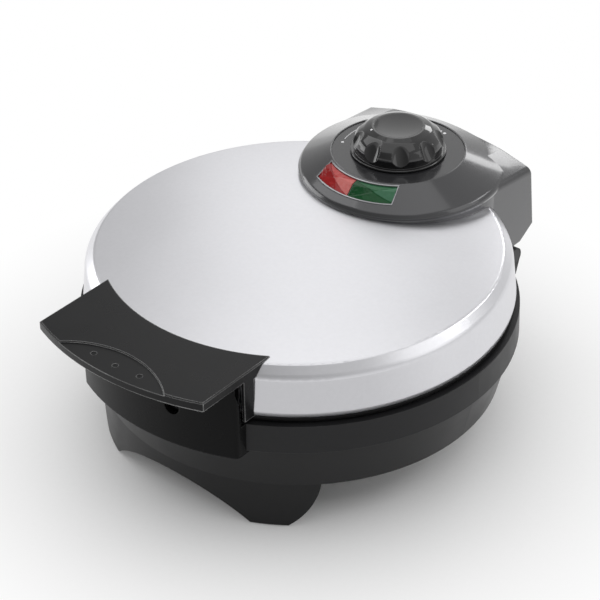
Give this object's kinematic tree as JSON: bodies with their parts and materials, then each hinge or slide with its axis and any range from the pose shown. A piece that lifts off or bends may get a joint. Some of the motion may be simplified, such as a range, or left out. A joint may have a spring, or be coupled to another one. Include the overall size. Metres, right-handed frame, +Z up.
{
  "type": "belgian waffle maker",
  "caption": "Round countertop waffle maker with a stainless lid that folds back on a rear hinge, deep grid plates, front handles, and a thermostat dial over two indicator lenses.",
  "frame": {"origin": "on the worktop, under the middle of the closed object's outline", "axes": "+Z up, +Y from the front handles towards the rear hinge, +X to the right for someone who faces the handles"},
  "size_m": [0.2466, 0.2964, 0.1425],
  "materials": {
    "black_plastic": "satin",
    "housing_gloss": "gloss metallic grey",
    "dial_gloss": "gloss",
    "knob_gloss": "polished",
    "brushed_steel": "satin",
    "plated_steel": "zinc plated",
    "screw_steel": "zinc plated",
    "nonstick_cast": "non-stick coated",
    "heater_steel": "oxidised",
    "reflector_aluminium": "bright rolled",
    "ceramic": "unglazed ceramic",
    "rubber_black": "matte",
    "terminal_brass": "plain",
    "thermostat_body": "moulded",
    "fuse_sleeve": "woven sleeve",
    "wire_red": "insulation",
    "wire_white": "insulation",
    "bezel_silver": "satin plated",
    "lens_red": "tinted clear plastic",
    "lens_green": "tinted clear plastic",
    "lamp_glass": "clear",
    "holder_plastic": "moulded"
  },
  "bodies": {
    "base": {"base_housing": "black_plastic", "base_ring": "black_plastic", "bottom_cover": "plated_steel", "bottom_cover_screws": "screw_steel", "foot_pads": "rubber_black", "lower_handle": "black_plastic", "lower_handle_screws": "screw_steel", "lower_grid_plate": "nonstick_cast", "lower_plate_screws": "screw_steel", "lower_heating_element": "heater_steel", "lower_element_insulators": "ceramic", "lower_element_clamps": "plated_steel", "lower_clamp_screws": "screw_steel", "lower_heat_reflector": "reflector_aluminium", "thermal_fuse": "fuse_sleeve", "fuse_clip": "plated_steel", "terminal_block": "ceramic", "terminal_screws": "terminal_brass", "cord_gland": "black_plastic", "gland_nut": "black_plastic", "base_leads": "wire_red", "hinge_pins": "screw_steel"},
    "lid": {"lid_cover": "brushed_steel", "lid_ring": "black_plastic", "lid_handle": "black_plastic", "lid_handle_screws": "screw_steel", "hinge_arm_right": "black_plastic", "hinge_arm_left": "black_plastic", "hinge_arm_screws": "screw_steel", "upper_grid_plate": "nonstick_cast", "upper_plate_screws": "screw_steel", "upper_heating_element": "heater_steel", "upper_element_insulators": "ceramic", "upper_element_clamps": "plated_steel", "upper_clamp_screws": "screw_steel", "upper_heat_reflector": "reflector_aluminium", "thermostat": "thermostat_body", "thermostat_bracket": "plated_steel", "bracket_screws": "screw_steel", "thermostat_nut": "plated_steel", "thermostat_leads": "wire_red", "control_housing": "housing_gloss", "housing_screws": "screw_steel", "rear_cover": "black_plastic", "dial_plate": "dial_gloss", "lens_bezel": "bezel_silver", "red_lens": "lens_red", "green_lens": "lens_green", "lamp_holder": "holder_plastic", "indicator_lamps": "lamp_glass", "lamp_leads": "wire_white"},
    "knob": {"thermostat_shaft": "screw_steel", "knob": "knob_gloss", "knob_cap": "knob_gloss", "knob_clip": "plated_steel"}
  },
  "joints": [
    {"name": "lid_hinge", "type": "hinge", "parent": "base", "child": "lid", "pos_m": [0, 0.12945, 0.061], "axis": [-1, 0, 0], "range_deg": [0, 100]},
    {"name": "knob_turn", "type": "hinge", "parent": "lid", "child": "knob", "pos_m": [0, 0.09605, 0.127], "axis": [0, 0, 1], "range_deg": [-135, 135]}
  ]
}
